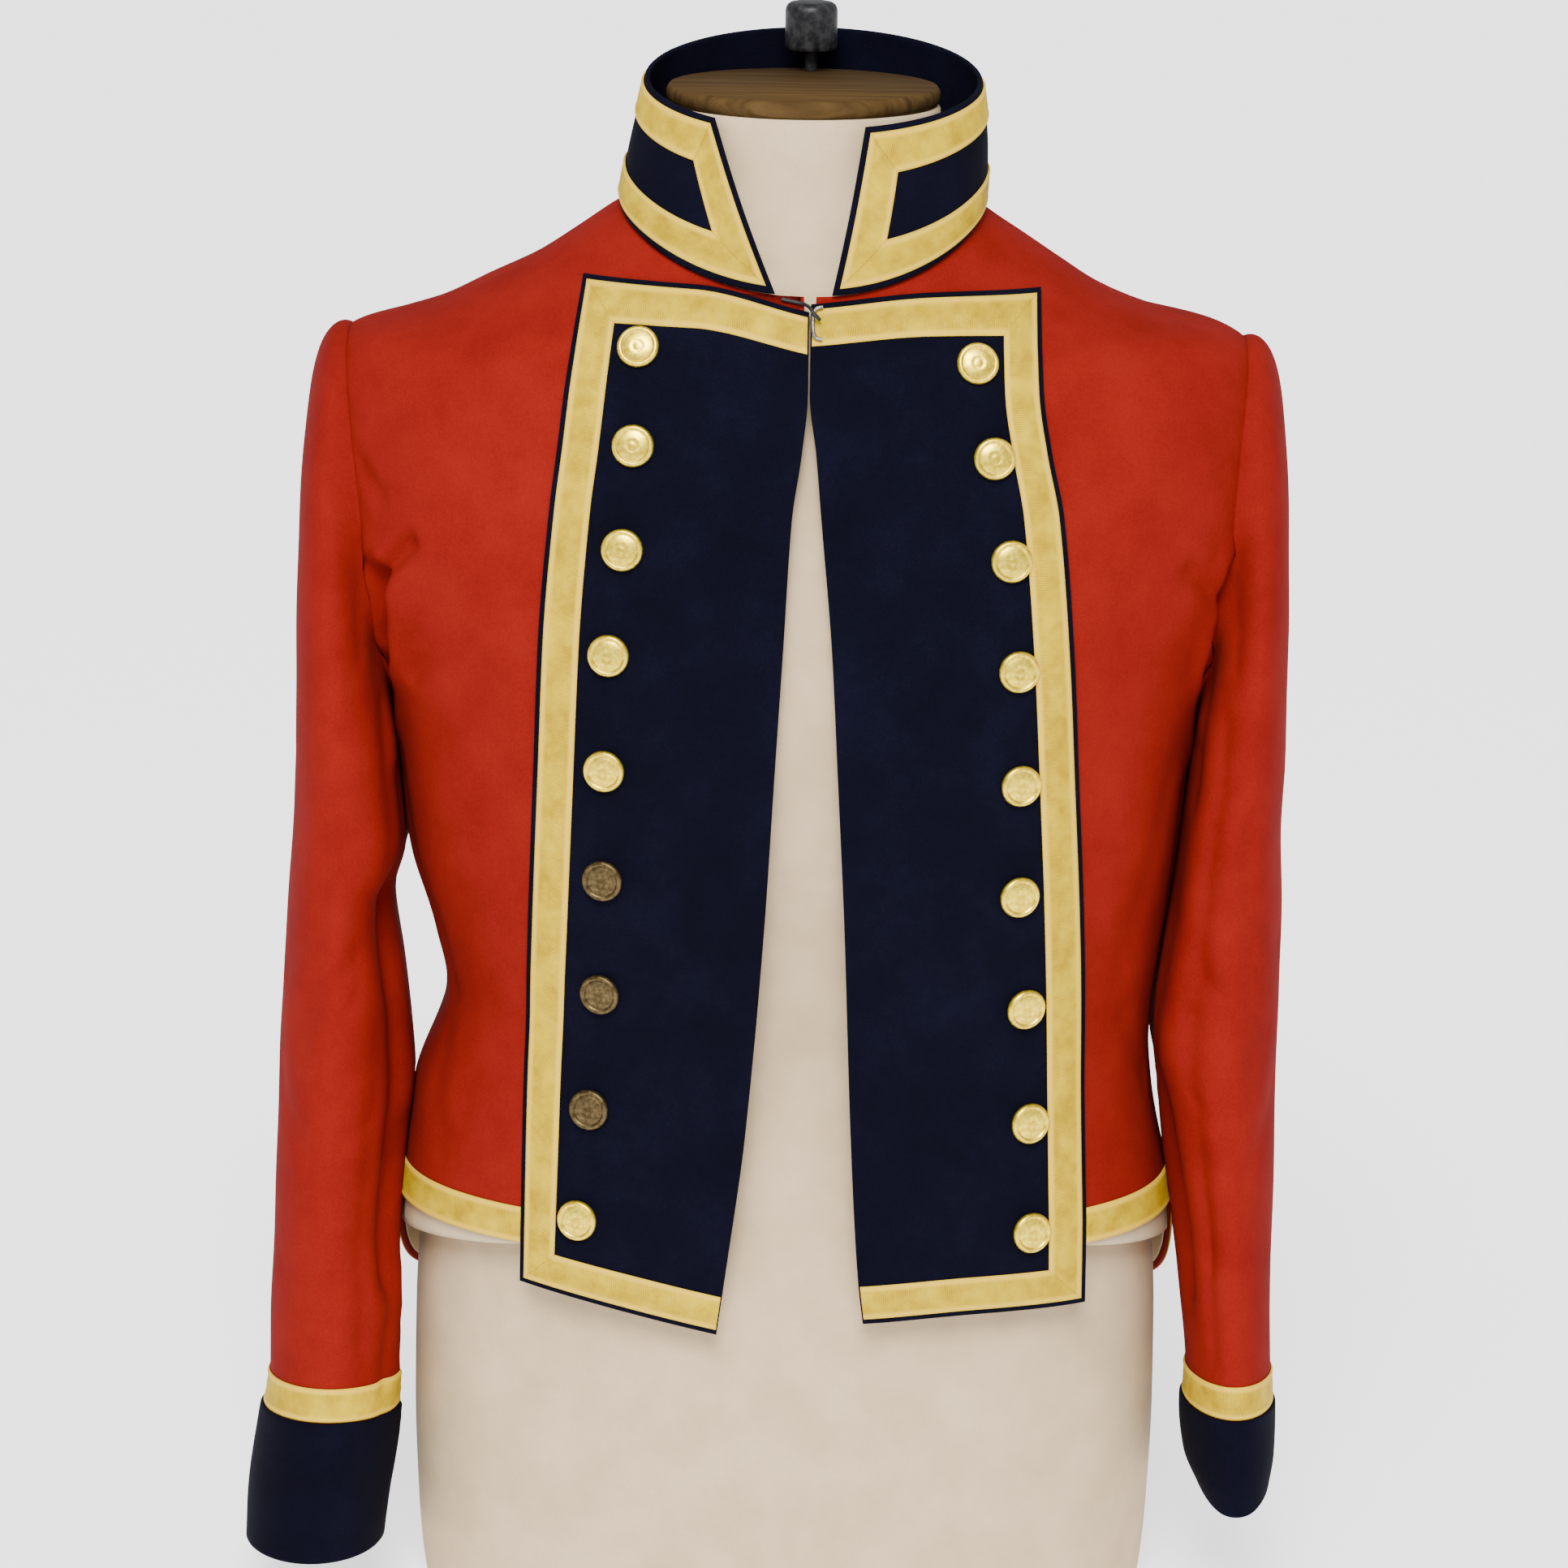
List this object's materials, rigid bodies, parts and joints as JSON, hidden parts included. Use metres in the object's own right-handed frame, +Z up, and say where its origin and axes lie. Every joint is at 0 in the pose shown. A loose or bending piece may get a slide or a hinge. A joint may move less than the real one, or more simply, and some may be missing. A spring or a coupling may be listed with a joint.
{
  "type": "hussar jacket on a dress form",
  "caption": "Short scarlet military jacket with navy lapels buttoned back, standing collar, cuffs, gold lace and gilt buttons, worn open on a limbless calico dress form.",
  "frame": {"origin": "middle of the flat underside of the dress form", "axes": "+Z up, the jacket faces -Y, +X is to the right as seen from the front"},
  "size_m": [0.5236, 0.2576, 0.8095],
  "materials": {
    "scarlet_cloth": "felted wool, matt",
    "navy_cloth": "felted wool, matt",
    "gold_lace": "woven metallic lace, satin",
    "cream_lining": "plain cotton, matt",
    "gilt": "polished gilt",
    "hook_steel": "dark steel wire",
    "calico": "smooth calico, matt",
    "neck_cap_wood": "stained wood, satin",
    "knob_black": "black, satin"
  },
  "bodies": {
    "root": {"front_left": "scarlet_cloth", "front_right": "scarlet_cloth", "back_left": "scarlet_cloth", "back_right": "scarlet_cloth", "sleeve_left": "scarlet_cloth", "sleeve_right": "scarlet_cloth", "collar": "navy_cloth", "lapel_left": "navy_cloth", "lapel_right": "navy_cloth", "cuff_left": "navy_cloth", "cuff_right": "navy_cloth", "back_lining": "cream_lining", "collar_braid": "gold_lace", "lapel_braid_left": "gold_lace", "lapel_braid_right": "gold_lace", "hem_braid_left": "gold_lace", "hem_braid_right": "gold_lace", "hem_braid_back": "gold_lace", "cuff_braid_left": "gold_lace", "cuff_braid_right": "gold_lace", "button_left_1": "gilt", "button_left_2": "gilt", "button_left_3": "gilt", "button_left_4": "gilt", "button_left_5": "gilt", "button_left_6": "gilt", "button_left_7": "gilt", "button_left_8": "gilt", "button_left_9": "gilt", "button_right_1": "gilt", "button_right_2": "gilt", "button_right_3": "gilt", "button_right_4": "gilt", "button_right_5": "gilt", "button_right_6": "gilt", "button_right_7": "gilt", "button_right_8": "gilt", "button_right_9": "gilt", "hook": "hook_steel", "eye": "hook_steel", "form_torso": "calico", "form_cap": "neck_cap_wood", "form_knob": "knob_black"}
  },
  "joints": []
}
